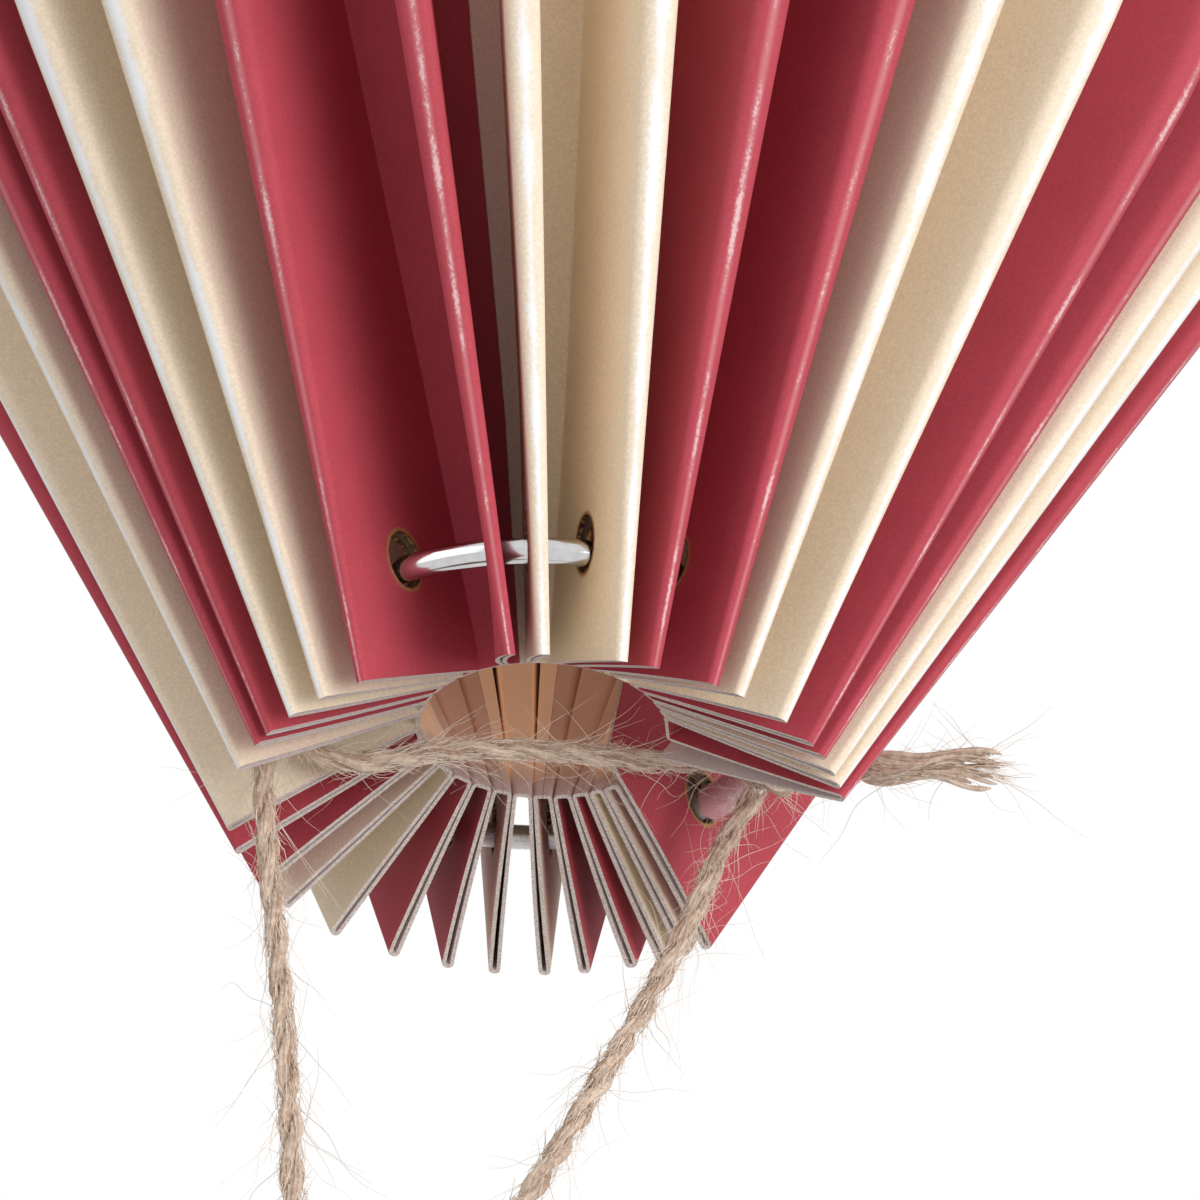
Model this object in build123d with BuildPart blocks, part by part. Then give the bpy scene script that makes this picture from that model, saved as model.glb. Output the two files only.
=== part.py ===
from build123d import *
import os
from math import cos, degrees, pi, radians, sin, sqrt, tan

os.makedirs("parts", exist_ok=True)

# A hot air balloon ornament of pleated card, in millimetres, +Z up.
# The origin is the top of the hanging eye's hole, so the balloon hangs below it.
# Angles round the balloon start at +X and turn towards +Y. The near side is -Y.

# Envelope
envelope_radius = 80.0
mouth_radius = 30.0
cone_half_angle = 31.2
pleat_depth = 21.0
core_radius = 12.4
crown_radius = 20.0
mouth_tilt = 3.1

# Card and its folds
card_thickness = 0.4
finger_width_share = 0.04
seam_gap = 0.05
thinnest_fold_cosine = 0.45

# Every second fold is a ridge. These are the ridges' angles in degrees, first at
# the mouth, where they are bunched on the ring, and then from the shoulder up.
# The first and last stripes are the two ends of the strip and have one ridge.
mouth_ridges = (
    (53,), (58, 63), (69.5, 79), (87, 97), (106.5, 118), (132, 146), (155, 168),
    (176.5, 198), (207, 211.5), (219, 227), (236, 264), (270, 284), (290, 302),
    (308, 319.5), (329, 334), (340, 344.5), (349,),
)
upper_ridges = (
    (50,), (57, 64), (71, 79), (88, 97.5), (108, 119), (132, 145), (157, 169),
    (182, 197), (204.5, 210), (217, 226.5), (238, 254), (264, 276), (286, 297),
    (305, 316), (328, 336), (341.5, 347), (354,),
)
first_edge_turn = -7.0
mouth_last_edge_turn = 30.0
upper_last_edge_turn = 12.0
even_valley_share = 0.5

# Widths that change with height, each step as (height above the mouth, width), both
# as shares of the envelope's radius. The outer folds are pressed sharp at the mouth
# and rounder above. The strip's first end is wider than the other panels by a flap.
ridge_step_shares = ((0.0, 0.009375), (0.7925, 0.045), (1.3125, 0.055), (2.27875, 0.0075))
flap_step_shares = ((0.13625, 0.0425), (0.4, 0.15625), (0.7925, 0.1), (1.3125, 0.05))
belly_latitudes = (-18, -4, 10, 24, 37, 49, 60, 69)

# Binder ring at the mouth: two half rings, hinged at one side and snapped at the other
ring_wire = 2.6
ring_bore = 50.0
ring_height = 14.2
ring_hole = 5.4
ring_seat = 0.3
snap_angle = 37.0
snap_sleeve_diameter = 3.8
snap_sleeve_length = 8.0
snap_notch_width = 1.4
snap_notch_depth = 1.9
snap_entry = 5.2
ring_clearance = 0.1
knuckle_diameter = 2.9
hinge_height = 2.1
tongue_height = 0.7
plate_width = 1.8
plate_lap = 1.6
hinge_pin_diameter = 1.1

# Crown: a glued card disc that carries a riveted wire eye
disc_thickness = 1.2
disc_overhang = 2.0
eye_bore = 6.8
eye_wire = 1.6
eye_collar_radius = 2.6
eye_collar_height = 0.9
washer_radius = 4.0
washer_thickness = 0.8
stem_diameter = 1.8
rivet_radius = 1.7
rivet_height = 0.7
stem_clearance = 0.15
seat_gap = 0.05

# Basket, wound of twine, and how far below the mouth its rim hangs
basket_rim_radius = 10.8
basket_floor_radius = 8.2
basket_turns = 7
basket_turn_pitch = 2.2
basket_twine = 2.8
turn_sides = 8
basket_drop = 49.5
basket_side_shift = -11.5
basket_back_shift = 1.0
strand_hole = 3.7
strand_hole_drop = 4.1

# Twine and its knots
twine = 2.3
twine_seat = 0.3
loop_angle = 188.0
ring_knot_angle = 22.6
ring_knot_length = 4.0
ring_knot_radius = 3.9
ring_knot_edge = 1.1
basket_knot_length = 4.2
basket_knot_radius = 2.7
basket_knot_edge = 1.2

# The routes of the twine, each point as (x, y, height above the mouth)
left_route = (
    (-27.2, -4.0, 8.5), (-26.9, -4.1, 1.1), (-25.5, -3.5, -6.9), (-23.2, -2.4, -19.4),
    (-21.1, -1.0, -32.3), (-19.8, 0.3, -42.6), (-18.8, 1.0, -52.8), (-23.55, 1.0, -53.6),
)
cross_route = (
    (-24.6, -3.5, 9.1), (-23.3, -3.3, 5.3), (-19.4, -2.8, 3.7), (-14.9, -1.9, 4.9),
    (-10.4, -0.6, 7.2), (-4.4, 0.9, 8.8), (2.2, 1.8, 9.7), (8.6, 4.7, 11.1),
    (14.6, 7.4, 12.6), (19.4, 8.3, 14.5),
)
right_route = (
    (21.7, 10.3, 11.5), (20.3, 10.6, 8.6), (18.4, 10.1, 4.2), (16.7, 9.5, -1.9),
    (12.6, 8.1, -13.1), (7.8, 6.4, -24.2), (4.6, 4.3, -32.3), (0.6, 2.4, -41.0),
    (-4.2, 1.0, -52.8), (0.55, 1.0, -53.6),
)
tail_route = (
    (23.5, 10.2, 20.0), (23.5, 11.2, 24.2), (26.6, 14.2, 26.2), (29.6, 14.0, 21.6),
    (32.4, 12.2, 16.2), (37.0, 10.9, 15.7), (41.6, 10.4, 16.7), (46.6, 10.2, 16.0),
)

# Places that follow from the sizes above
half_card = card_thickness / 2
ring_radius = (ring_bore + ring_wire) / 2
shoulder_height = (envelope_radius * cos(radians(cone_half_angle)) - mouth_radius) / tan(radians(cone_half_angle))
belly_height = shoulder_height + envelope_radius * sin(radians(cone_half_angle))
valley_end_height = pleat_depth * sin(radians(cone_half_angle))
crown_height = belly_height + sqrt(envelope_radius**2 - crown_radius**2)
inner_radius = envelope_radius - pleat_depth
inner_shoulder_height = belly_height - inner_radius * sin(radians(cone_half_angle))
disc_top = -(eye_bore + eye_wire + eye_collar_height)
disc_bottom = disc_top - disc_thickness
mouth_level = disc_bottom - seat_gap - crown_height

mouth_plane = Plane(
    origin=(0, 0, mouth_level),
    x_dir=(cos(radians(mouth_tilt)), 0, sin(radians(mouth_tilt))),
    z_dir=(-sin(radians(mouth_tilt)), 0, cos(radians(mouth_tilt))),
)
ring_plane = mouth_plane.offset(ring_height)


def ridge_radius(height):
    """Radius of the outer folds, a cone that runs into a ball."""
    if height <= shoulder_height:
        return mouth_radius + height * tan(radians(cone_half_angle))
    return sqrt(envelope_radius**2 - (height - belly_height)**2)


def valley_radius(height):
    """Radius of the inner folds, one pleat depth inside the ridges."""
    if height <= inner_shoulder_height:
        radius = ridge_radius(0) + height * tan(radians(cone_half_angle))
        radius -= pleat_depth / cos(radians(cone_half_angle))
    else:
        radius = sqrt(max(inner_radius**2 - (height - belly_height)**2, 0))
    return max(radius, core_radius)


def fold_half(radius, ball_radius, height, start):
    """Half the card's width across a fold, measured level, where the fold leans."""
    lean = cos(radians(cone_half_angle)) if height <= start else radius / ball_radius
    if radius <= core_radius:
        lean = 1
    return half_card / max(lean, thinnest_fold_cosine)


def on_circle(radius, angle):
    return Vector(radius * cos(radians(angle)), radius * sin(radians(angle)))


def ridge_point(mouth_angle, upper_angle, height):
    """Middle of a ridge at a height: straight to the shoulder, then in one plane."""
    if height >= shoulder_height:
        return on_circle(ridge_radius(height), upper_angle)
    foot = on_circle(mouth_radius, mouth_angle)
    foot_height = mouth_radius * sin(radians(mouth_tilt)) * cos(radians(mouth_angle))
    top = on_circle(ridge_radius(shoulder_height), upper_angle)
    share = (height - foot_height) / (shoulder_height - foot_height)
    return foot + (top - foot) * share


def valley_point(mouth_angle, upper_angle, height):
    rise = (height - valley_end_height) / (shoulder_height - valley_end_height)
    share = min(max(rise, 0), 1)
    angle = mouth_angle + (upper_angle - mouth_angle) * share
    return on_circle(valley_radius(height), angle)


def valley_angles(ridges, last_edge_turn):
    """Angles of the valleys, between the ridges' middles and an even spread."""
    flat = [angle for stripe in ridges for angle in stripe]
    middles = [(a + b) / 2 for a, b in zip(flat, flat[1:])]
    step = (middles[-1] - middles[0]) / (len(middles) - 1)
    even = [middles[0] + step * i for i in range(len(middles))]
    share = even_valley_share
    valleys = [m * (1 - share) + e * share for m, e in zip(middles, even)]
    return [flat[0] + first_edge_turn] + valleys + [flat[-1] + last_edge_turn]


def sized(shares):
    """Steps in millimetres from their shares of the envelope's radius."""
    return [(height * envelope_radius, width * envelope_radius) for height, width in shares]


def stepped_width(steps, height):
    """Width at a height, straight between steps and even outside them."""
    for (low, first), (high, second) in zip(steps, steps[1:]):
        if height < high:
            share = max(height - low, 0) / (high - low)
            return first + (second - first) * share
    return steps[-1][1]


def fold_pair(middle, width):
    """The two edges of a fold that faces away from the balloon's axis."""
    across = Vector(-middle.Y, middle.X).normalized() * (width / 2)
    return middle - across, middle + across


def thick_outline(points, halves):
    """Closed outline of a bent strip: each run has its own half thickness."""
    normals = []
    for start, end in zip(points, points[1:]):
        run = (end - start).normalized()
        normals.append(Vector(-run.Y, run.X))
    sides = [normals[0] * halves[0]]
    for n1, n2, h1, h2 in zip(normals, normals[1:], halves, halves[1:]):
        turn = n1.X * n2.Y - n1.Y * n2.X
        sides.append(Vector((h1 * n2.Y - h2 * n1.Y) / turn, (h2 * n1.X - h1 * n2.X) / turn))
    sides.append(normals[-1] * halves[-1])
    left = [p + s for p, s in zip(points, sides)]
    right = [p - s for p, s in zip(points, sides)]
    return [(p.X, p.Y) for p in left + right[::-1]]


mouth_valleys = valley_angles(mouth_ridges, mouth_last_edge_turn)
upper_valleys = valley_angles(upper_ridges, upper_last_edge_turn)
ridge_steps = sized(ridge_step_shares)
flap_steps = sized(flap_step_shares)


def stripe_section(stripe, first_valley, height):
    """Level section of one stripe: half a valley, ridges, half a valley.

    The two walls of a ridge run close together as a finger, and flat valleys join
    the fingers' inner ends.
    """
    ridge_half = fold_half(ridge_radius(height), envelope_radius, height, shoulder_height)
    valley_half = fold_half(valley_radius(height), inner_radius, height, inner_shoulder_height)
    last_valley = len(mouth_valleys) - 1
    seam = seam_gap / 2
    points = []
    halves = []
    for i, mouth_ridge in enumerate(mouth_ridges[stripe]):
        k = first_valley + i
        edge = valley_point(mouth_valleys[k], upper_valleys[k], height)
        next_edge = valley_point(mouth_valleys[k + 1], upper_valleys[k + 1], height)
        ridge = ridge_point(mouth_ridge, upper_ridges[stripe][i], height)
        root = (edge + next_edge).normalized() * valley_radius(height)
        near, far = fold_pair(root, finger_width_share * valley_radius(height))
        if k == 0:
            points.append(edge - edge.normalized() * stepped_width(flap_steps, height))
        else:
            if i == 0:
                points.append(edge + (near - edge).normalized() * seam)
            points.append(near)
            halves.append(valley_half)
        points += fold_pair(ridge, stepped_width(ridge_steps, height))
        halves += [half_card, ridge_half, half_card]
        if k + 1 == last_valley:
            points.append(next_edge)
        else:
            points.append(far)
            if i == len(mouth_ridges[stripe]) - 1:
                points.append(next_edge - (next_edge - far).normalized() * seam)
                halves.append(valley_half)
    return thick_outline(points, halves)


# Tools that trim every stripe: the square-cut mouth, and the way of the ring, whose
# wire carries the basket's weight and so lies at the bottom of its holes
with BuildPart() as mouth_cut:
    reach = 2 * mouth_radius
    with BuildSketch(Plane(origin=mouth_plane.origin, x_dir=mouth_plane.x_dir, z_dir=-mouth_plane.y_dir)):
        with BuildLine():
            Polyline(
                (0, -reach),
                (reach, -reach),
                (reach, (mouth_radius - reach) * tan(radians(cone_half_angle))),
                (0, mouth_radius * tan(radians(cone_half_angle))),
                close=True,
            )
        make_face()
    revolve(axis=Axis(mouth_plane.origin, mouth_plane.z_dir))

with BuildPart(ring_plane.offset(ring_hole / 2 - ring_wire / 2 - ring_seat)) as ring_way:
    Torus(ring_radius, ring_hole / 2)

overrun = 3 * card_thickness
mouth_rise = mouth_radius * sin(radians(mouth_tilt))
levels = [-mouth_rise - overrun, valley_end_height, flap_steps[1][0], shoulder_height]
levels += [belly_height + envelope_radius * sin(radians(a)) for a in belly_latitudes]
levels.append(crown_height)


def build_stripe(stripe, first_valley, label):
    with BuildPart() as sheet:
        for height in levels:
            with BuildSketch(Plane.XY.offset(mouth_level + height)):
                with BuildLine():
                    Polyline(stripe_section(stripe, first_valley, height), close=True)
                make_face()
        loft(ruled=True)
        add(mouth_cut.part, mode=Mode.SUBTRACT)
        add(ring_way.part, mode=Mode.SUBTRACT)
    sheet.part.label = label
    return sheet


valley = 0
stripe_parts = []
for stripe, ridges in enumerate(mouth_ridges):
    colour = "cream" if stripe % 2 else "red"
    label = f"{colour}_stripe_{stripe // 2 + 1}"
    stripe_parts.append(build_stripe(stripe, valley, label))
    valley += len(ridges)


# Binder ring
def ring_turn(length):
    """Angle that a length takes along the ring."""
    return degrees(length / ring_radius)


def ring_bar(diameter, start_angle, turn):
    with BuildPart() as bar:
        with BuildLine(ring_plane) as path:
            CenterArc((0, 0), ring_radius, start_angle, turn)
        with BuildSketch(Plane(origin=path.line @ 0, z_dir=path.line % 0)):
            Circle(diameter / 2)
        sweep(path=path.line)
    return bar.part


def ring_station(angle):
    """Plane across the ring at an angle: x points outward, z along the wire."""
    place = ring_plane.from_local_coords(on_circle(ring_radius, angle))
    outward = (place - ring_plane.origin).normalized()
    return Plane(origin=place, x_dir=outward, z_dir=ring_plane.z_dir.cross(outward))


hinge_angle = snap_angle + 180
hinge_station = ring_station(hinge_angle)
hinge_plane = Plane(origin=hinge_station.origin, x_dir=hinge_station.z_dir, z_dir=ring_plane.z_dir)
sleeve_turn = ring_turn(snap_sleeve_length)
entry_turn = ring_turn(snap_entry)
knuckle_reach = knuckle_diameter / 2 + ring_clearance
knuckle_turn = ring_turn(knuckle_reach)
sleeve_start = snap_angle - sleeve_turn / 2
plain_wire = ring_bar(ring_wire, snap_angle, hinge_angle - knuckle_turn - snap_angle)
snap_wire_start = hinge_angle + knuckle_turn
snap_wire = ring_bar(ring_wire, snap_wire_start, sleeve_start + entry_turn + 360 - snap_wire_start)
sleeve = ring_bar(snap_sleeve_diameter, sleeve_start, sleeve_turn)
bore_turn = entry_turn + ring_turn(snap_entry + ring_clearance)
sleeve_bore = ring_bar(ring_wire + 2 * ring_clearance, sleeve_start - entry_turn, bore_turn)
notch_plane = ring_station(sleeve_start + entry_turn / 2).offset(-snap_notch_width / 2)
pin_bore_radius = hinge_pin_diameter / 2 + ring_clearance
plate_height = hinge_height / 2 - tongue_height / 2 - ring_clearance


def hinge_plate(foot, thickness, side):
    """A flat end of the wire, drilled for the pin; side -1 is the plain half's."""
    with BuildPart() as plate:
        with BuildSketch(hinge_plane.offset(foot)):
            Circle(knuckle_diameter / 2)
            with Locations((side * (knuckle_reach + plate_lap) / 2, 0)):
                Rectangle(knuckle_reach + plate_lap, plate_width)
            Circle(pin_bore_radius, mode=Mode.SUBTRACT)
        extrude(amount=thickness)
    return plate.part


tongue = hinge_plate(-tongue_height / 2, tongue_height, -1)
fork_low = hinge_plate(-hinge_height / 2, plate_height, 1)
fork_high = hinge_plate(hinge_height / 2 - plate_height, plate_height, 1)

with BuildPart() as ring_plain_half:
    add(plain_wire)
    add(sleeve)
    add(sleeve_bore, mode=Mode.SUBTRACT)
    with BuildSketch(notch_plane):
        with Locations((snap_sleeve_diameter / 2, 0)):
            Rectangle(2 * snap_notch_depth, 2 * snap_sleeve_diameter)
    extrude(amount=snap_notch_width, mode=Mode.SUBTRACT)
    add(tongue)

with BuildPart() as ring_snap_half:
    add(snap_wire)
    add(fork_low)
    add(fork_high)

with BuildPart() as ring_hinge_pin:
    with BuildSketch(hinge_plane.offset(-hinge_height / 2)):
        Circle(hinge_pin_diameter / 2)
    extrude(amount=hinge_height)

# Crown
stem_bore_radius = stem_diameter / 2 + stem_clearance
with BuildPart() as crown_disc:
    with BuildSketch(Plane.XY.offset(disc_bottom)):
        Circle(crown_radius + disc_overhang)
        Circle(stem_bore_radius, mode=Mode.SUBTRACT)
    extrude(amount=disc_thickness)

with BuildPart() as crown_washer:
    with BuildSketch(Plane.XY.offset(disc_bottom - washer_thickness)):
        Circle(washer_radius)
        Circle(stem_bore_radius, mode=Mode.SUBTRACT)
    extrude(amount=washer_thickness)

stem_bottom = disc_bottom - washer_thickness - rivet_height
collar_top = -(eye_bore + eye_wire / 2)
with BuildPart() as hanging_eye:
    with BuildSketch(Plane.YZ):
        with Locations((0, eye_wire / 2)):
            Circle(eye_wire / 2)
    revolve(axis=Axis((0, 0, -eye_bore / 2), (0, 1, 0)))
    with BuildSketch(Plane.XY.offset(disc_top)):
        Circle(eye_collar_radius)
    extrude(amount=collar_top - disc_top)
    with BuildSketch(Plane.XY.offset(stem_bottom)):
        Circle(stem_diameter / 2)
    extrude(amount=disc_top - stem_bottom)
    with BuildSketch(Plane.XY.offset(stem_bottom)):
        Circle(rivet_radius)
    extrude(amount=rivet_height)

# Basket: turns of twine laid flat for the floor and stacked for the wall
basket_height = (basket_turns - 1) * basket_turn_pitch + basket_twine
basket_rim_level = mouth_level - basket_drop
basket_foot = Vector(basket_side_shift, basket_back_shift, basket_rim_level - basket_height)
basket_spread = (basket_rim_radius - basket_floor_radius) / (basket_turns - 1)
floor_turns = int(basket_floor_radius / basket_turn_pitch)
hole_level = basket_rim_level - strand_hole_drop
with BuildPart() as basket:
    with BuildSketch(Plane(origin=basket_foot, x_dir=(1, 0, 0), z_dir=(0, -1, 0))):
        for i in range(basket_turns):
            with Locations((basket_floor_radius + i * basket_spread, basket_twine / 2 + i * basket_turn_pitch)):
                RegularPolygon(basket_twine / 2, turn_sides)
        for i in range(1, floor_turns + 1):
            with Locations((basket_floor_radius - i * basket_turn_pitch, basket_twine / 2)):
                RegularPolygon(basket_twine / 2, turn_sides)
        with Locations((0, basket_height / 2)):
            Rectangle(2 * basket_rim_radius, basket_height, align=(Align.MIN, Align.CENTER), mode=Mode.INTERSECT)
    revolve(axis=Axis(basket_foot, (0, 0, 1)))
    with BuildSketch(Plane.YZ.offset(basket_side_shift - 2 * basket_rim_radius)):
        with Locations((basket_back_shift, hole_level)):
            Circle(strand_hole / 2)
    extrude(amount=4 * basket_rim_radius, mode=Mode.SUBTRACT)

# Knots
loop_station = ring_station(loop_angle)
with BuildPart() as twine_ring_loop:
    with BuildSketch(Plane(origin=loop_station.origin, x_dir=loop_station.x_dir, z_dir=loop_station.y_dir)):
        with Locations((ring_wire / 2 + twine_seat + twine / 2, 0)):
            Circle(twine / 2)
    revolve(axis=Axis(loop_station.origin, loop_station.z_dir))

with BuildPart() as twine_ring_knot:
    with BuildSketch(ring_station(ring_knot_angle).offset(-ring_knot_length / 2)):
        Circle(ring_knot_radius)
        Circle(ring_wire / 2 + twine_seat, mode=Mode.SUBTRACT)
    extrude(amount=ring_knot_length)
    fillet(twine_ring_knot.edges().filter_by(GeomType.CIRCLE).group_by(SortBy.RADIUS)[-1], ring_knot_edge)

basket_knots = []
knot_reach = basket_rim_radius + basket_twine / 2 + twine_seat
for label, side in (("basket_knot_left", -1), ("basket_knot_right", 1)):
    knot_foot = Vector(basket_side_shift + side * knot_reach, basket_back_shift, hole_level)
    with BuildPart() as knot:
        with BuildSketch(Plane(origin=knot_foot, z_dir=(side, 0, 0))):
            Circle(basket_knot_radius)
        extrude(amount=basket_knot_length)
        fillet(knot.edges(), basket_knot_edge)
    knot.part.label = label
    basket_knots.append(knot)

# Twine
bend_share = 0.45


def build_twine(route, label):
    """A tube of straight runs joined by tangent arcs, each as large as its runs allow."""
    points = [Vector(x, y, mouth_level + height) for x, y, height in route]
    runs = [end - start for start, end in zip(points, points[1:])]
    radii = []
    for first, second in zip(runs, runs[1:]):
        half_turn = radians(first.get_angle(second)) / 2
        radii.append(bend_share * min(first.length, second.length) / tan(half_turn))
    with BuildPart() as strand:
        with BuildLine() as path:
            FilletPolyline(*points, radius=radii)
        with BuildSketch(Plane(origin=path.line @ 0, z_dir=path.line % 0)):
            Circle(twine / 2)
        sweep(path=path.line)
    strand.part.label = label
    length = path.wires()[0].length
    full = pi * (twine / 2)**2 * length
    print(label, "length", round(length, 1), "radii", [round(r, 1) for r in radii])
    print(label, "volume share of section times length", round(strand.part.volume / full, 4))
    return strand


twine_parts = [
    build_twine(left_route, "twine_left"),
    build_twine(cross_route, "twine_cross"),
    build_twine(right_route, "twine_right"),
    build_twine(tail_route, "twine_tail"),
]

ring_plain_half.part.label = "ring_plain_half"
ring_snap_half.part.label = "ring_snap_half"
ring_hinge_pin.part.label = "ring_hinge_pin"
crown_disc.part.label = "crown_disc"
crown_washer.part.label = "crown_washer"
hanging_eye.part.label = "hanging_eye"
basket.part.label = "basket"
twine_ring_loop.part.label = "twine_ring_loop"
twine_ring_knot.part.label = "twine_ring_knot"

single_parts = [
    ring_plain_half, ring_snap_half, ring_hinge_pin, crown_disc, crown_washer,
    hanging_eye, basket, twine_ring_loop, twine_ring_knot,
]
for piece in stripe_parts + single_parts + basket_knots + twine_parts:
    export_step(piece.part, f"parts/{piece.part.label}.step")
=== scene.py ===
import random
from math import asin, cos, exp, pi, radians, sin, sqrt, tan

import bpy
from mathutils import Matrix, Vector, noise


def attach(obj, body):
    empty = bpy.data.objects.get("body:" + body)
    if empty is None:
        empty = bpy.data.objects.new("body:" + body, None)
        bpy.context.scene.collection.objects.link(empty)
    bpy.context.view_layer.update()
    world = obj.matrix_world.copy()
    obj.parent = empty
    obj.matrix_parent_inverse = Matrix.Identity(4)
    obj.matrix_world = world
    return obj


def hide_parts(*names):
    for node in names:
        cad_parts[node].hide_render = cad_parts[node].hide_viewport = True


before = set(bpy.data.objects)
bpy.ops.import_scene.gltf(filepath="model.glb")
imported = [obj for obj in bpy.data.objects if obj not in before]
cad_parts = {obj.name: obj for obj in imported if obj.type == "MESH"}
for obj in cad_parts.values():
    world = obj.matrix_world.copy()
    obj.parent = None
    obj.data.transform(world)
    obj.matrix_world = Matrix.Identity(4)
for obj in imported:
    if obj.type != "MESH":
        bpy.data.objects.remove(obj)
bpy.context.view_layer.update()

# Lengths are written in millimetres, as in the CAD, and scaled where a mesh is made.
MM = 0.001

# Envelope, card, ring, twine and basket, the same values as the CAD
ENVELOPE_RADIUS = 80.0
MOUTH_RADIUS = 30.0
CONE_HALF_ANGLE = radians(31.2)
PLEAT_DEPTH = 21.0
CORE_RADIUS = 12.4
CROWN_RADIUS = 20.0
MOUTH_TILT = radians(3.1)
CARD = 0.4
FINGER_WIDTH_SHARE = 0.04
SEAM_GAP = 0.05
RIDGE_STEPS = ((0.0, 0.75), (63.4, 3.6), (105.0, 4.4), (182.3, 0.6))
FLAP_STEPS = ((10.9, 3.4), (32.0, 12.5), (63.4, 8.0), (105.0, 4.0))
MOUTH_RIDGES = (
    (53,), (58, 63), (69.5, 79), (87, 97), (106.5, 118), (132, 146), (155, 168),
    (176.5, 198), (207, 211.5), (219, 227), (236, 264), (270, 284), (290, 302),
    (308, 319.5), (329, 334), (340, 344.5), (349,),
)
UPPER_RIDGES = (
    (50,), (57, 64), (71, 79), (88, 97.5), (108, 119), (132, 145), (157, 169),
    (182, 197), (204.5, 210), (217, 226.5), (238, 254), (264, 276), (286, 297),
    (305, 316), (328, 336), (341.5, 347), (354,),
)
FIRST_EDGE_TURN = -7.0
MOUTH_LAST_EDGE_TURN = 30.0
UPPER_LAST_EDGE_TURN = 12.0
EVEN_VALLEY_SHARE = 0.5
RING_RADIUS = 26.3
RING_HEIGHT = 14.2
RING_HOLE = 5.4
RING_HOLE_RISE = 1.1
LOOP_ANGLE = 188.0
RING_KNOT_ANGLE = 22.6
TWINE = 2.3
BASKET_RIM = 10.8
BASKET_FLOOR = 8.2
BASKET_TURNS = 7
BASKET_PITCH = 2.2
BASKET_TWINE = 2.8
BASKET_DROP = 49.5
BASKET_SHIFT = (-11.5, 1.0)
HOLE_DROP = 4.1
HOLE_PART = 1.2
HOLE_SPREAD = 3.2
HOLE_REACH = 3.4
KNOT_LENGTH = 4.8

SHOULDER = (ENVELOPE_RADIUS * cos(CONE_HALF_ANGLE) - MOUTH_RADIUS) / tan(CONE_HALF_ANGLE)
BELLY = SHOULDER + ENVELOPE_RADIUS * sin(CONE_HALF_ANGLE)
CROWN = BELLY + sqrt(ENVELOPE_RADIUS**2 - CROWN_RADIUS**2)
INNER_RADIUS = ENVELOPE_RADIUS - PLEAT_DEPTH
INNER_SHOULDER = BELLY - INNER_RADIUS * sin(CONE_HALF_ANGLE)
VALLEY_END = PLEAT_DEPTH * sin(CONE_HALF_ANGLE)
CROWN_DISC_BOTTOM = -10.5
MOUTH_LEVEL = CROWN_DISC_BOTTOM - 0.05 - CROWN
MOUTH_AXIS = Vector((-sin(MOUTH_TILT), 0, cos(MOUTH_TILT)))
MOUTH_ACROSS = Vector((cos(MOUTH_TILT), 0, sin(MOUTH_TILT)))
MOUTH_ORIGIN = Vector((0, 0, MOUTH_LEVEL))
RING_ORIGIN = MOUTH_ORIGIN + MOUTH_AXIS * RING_HEIGHT
RING_WAY_ORIGIN = RING_ORIGIN + MOUTH_AXIS * RING_HOLE_RISE
HOLE_LEVEL = MOUTH_LEVEL - BASKET_DROP - HOLE_DROP

# The routes of the twine, each point as (x, y, height above the mouth)
ROUTES = {
    "left": (
        (-27.2, -4.0, 8.5), (-26.9, -4.1, 1.1), (-25.5, -3.5, -6.9), (-23.2, -2.4, -19.4),
        (-21.1, -1.0, -32.3), (-19.8, 0.3, -42.6), (-18.8, 1.0, -52.8), (-23.55, 1.0, -53.6),
    ),
    "cross": (
        (-24.6, -3.5, 9.1), (-23.3, -3.3, 5.3), (-19.4, -2.8, 3.7), (-14.9, -1.9, 4.9),
        (-10.4, -0.6, 7.2), (-4.4, 0.9, 8.8), (2.2, 1.8, 9.7), (8.6, 4.7, 11.1),
        (14.6, 7.4, 12.6), (19.4, 8.3, 14.5),
    ),
    "right": (
        (21.7, 10.3, 11.5), (20.3, 10.6, 8.6), (18.4, 10.1, 4.2), (16.7, 9.5, -1.9),
        (12.6, 8.1, -13.1), (7.8, 6.4, -24.2), (4.6, 4.3, -32.3), (0.6, 2.4, -41.0),
        (-4.2, 1.0, -52.8), (0.55, 1.0, -53.6),
    ),
    "tail": (
        (23.5, 10.2, 20.0), (23.5, 11.2, 24.2), (26.6, 14.2, 26.2), (29.6, 14.0, 21.6),
        (32.4, 12.2, 16.2), (37.0, 10.9, 15.7), (41.6, 10.4, 16.7), (46.6, 10.2, 16.0),
    ),
}

scene = bpy.context.scene
scene.view_settings.view_transform = "Standard"


# Camera, at the photograph's place under the mouth
CAMERA_PLACE = Vector((4.84, -351.9, MOUTH_LEVEL - 212.7))
CAMERA_RIGHT = Vector((0.99800, -0.03561, 0.05230))
CAMERA_UP = Vector((-0.06327, -0.56162, 0.82497))
SENSOR_WIDTH = 36
FOCAL_LENGTH = 126
CLIP_START = 10


def add_camera():
    data = bpy.data.cameras.new("camera")
    data.sensor_width = SENSOR_WIDTH
    data.lens = FOCAL_LENGTH
    data.clip_start = CLIP_START * MM
    camera = bpy.data.objects.new("camera", data)
    scene.collection.objects.link(camera)
    turn = Matrix((CAMERA_RIGHT, CAMERA_UP, CAMERA_RIGHT.cross(CAMERA_UP))).transposed()
    camera.matrix_world = Matrix.Translation(CAMERA_PLACE * MM) @ turn.to_4x4()
    scene.camera = camera


add_camera()


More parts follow.
